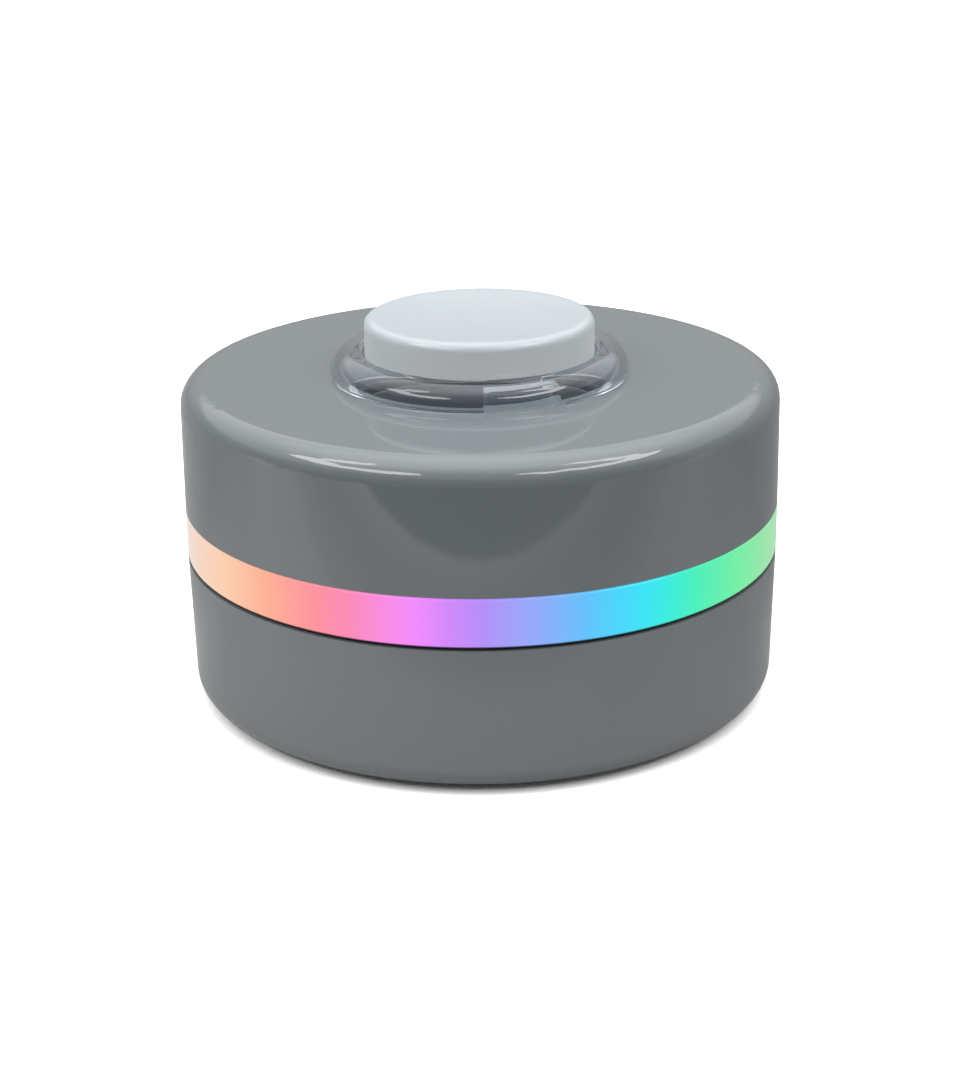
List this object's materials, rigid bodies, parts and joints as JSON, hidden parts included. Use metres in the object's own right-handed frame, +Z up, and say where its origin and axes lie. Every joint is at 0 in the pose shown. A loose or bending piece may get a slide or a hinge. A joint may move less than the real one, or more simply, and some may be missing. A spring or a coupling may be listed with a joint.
{
  "type": "bluetooth audio receiver",
  "caption": "Round grey Bluetooth audio receiver with a glowing light ring and a large white push button in a clear collar; audio and charging sockets at the back.",
  "frame": {"origin": "on the ground, on the axis of the puck and its button", "axes": "+Z up along the button's axis, +Y towards the sockets at the back, -Y the front"},
  "size_m": [0.066, 0.066, 0.0422],
  "materials": {
    "grey_shell": "glossy",
    "light_diffuser": "translucent, lit from inside",
    "rubber_foot": "matt",
    "steel": "plain",
    "gold_contact": "plated",
    "circuit_board": "solder mask",
    "black_plastic": "satin",
    "white_plastic": "satin",
    "crystal_can": "polished",
    "cell_pouch": "foil",
    "wire_coat": "satin",
    "colour_lamp": "clear",
    "white_lamp": "clear",
    "clear_collar": "polished clear plastic",
    "white_cap": "satin translucent",
    "red_pin": "satin"
  },
  "bodies": {
    "housing": {"lower_case": "grey_shell", "upper_cover": "grey_shell", "light_ring": "light_diffuser", "foot_ring": "rubber_foot", "case_screws": "steel", "main_board": "circuit_board", "bluetooth_module": "circuit_board", "shield_can": "steel", "audio_chip": "black_plastic", "charger_chip": "black_plastic", "crystal": "crystal_can", "power_inductor": "black_plastic", "filter_capacitors": "steel", "smd_parts": "black_plastic", "battery_header": "white_plastic", "led_header": "white_plastic", "button_header": "white_plastic", "audio_jack": "black_plastic", "jack_contacts": "gold_contact", "usb_shell": "steel", "usb_tongue": "black_plastic", "battery_pad": "black_plastic", "battery_cell": "cell_pouch", "battery_leads": "wire_coat", "lower_reflector": "white_plastic", "upper_reflector": "white_plastic", "led_board": "circuit_board", "rgb_leds": "colour_lamp", "led_harness": "wire_coat", "button_bezel": "clear_collar", "bezel_nut": "white_plastic", "button_base": "white_plastic", "button_led_board": "circuit_board", "button_leds": "white_lamp", "button_harness": "wire_coat", "switch_body": "black_plastic", "switch_terminals": "gold_contact", "return_spring": "steel"},
    "button": {"button_cap": "white_cap", "button_plunger": "white_plastic"},
    "lever": {"switch_lever": "steel"},
    "pin": {"switch_pin": "red_pin"}
  },
  "joints": [
    {"name": "button_press", "type": "slide", "parent": "housing", "child": "button", "axis": [0, 0, -1], "range_m": [0, 0.002], "stiffness_N_per_m": 300, "springref_m": -0.004, "deforming": ["return_spring"]},
    {"name": "lever_swing", "type": "hinge", "parent": "housing", "child": "lever", "pos_m": [-0.0093, 0, 0.0162], "axis": [0, 1, 0], "range_deg": [0, 12.32]},
    {"name": "pin_travel", "type": "slide", "parent": "housing", "child": "pin", "axis": [0, 0, -1], "range_m": [0, 0.000775]}
  ],
  "couplings": [
    {"joint": "lever_swing", "follows": "button_press", "rad_per_m": 107.5},
    {"joint": "pin_travel", "follows": "button_press", "ratio": 0.3871}
  ]
}
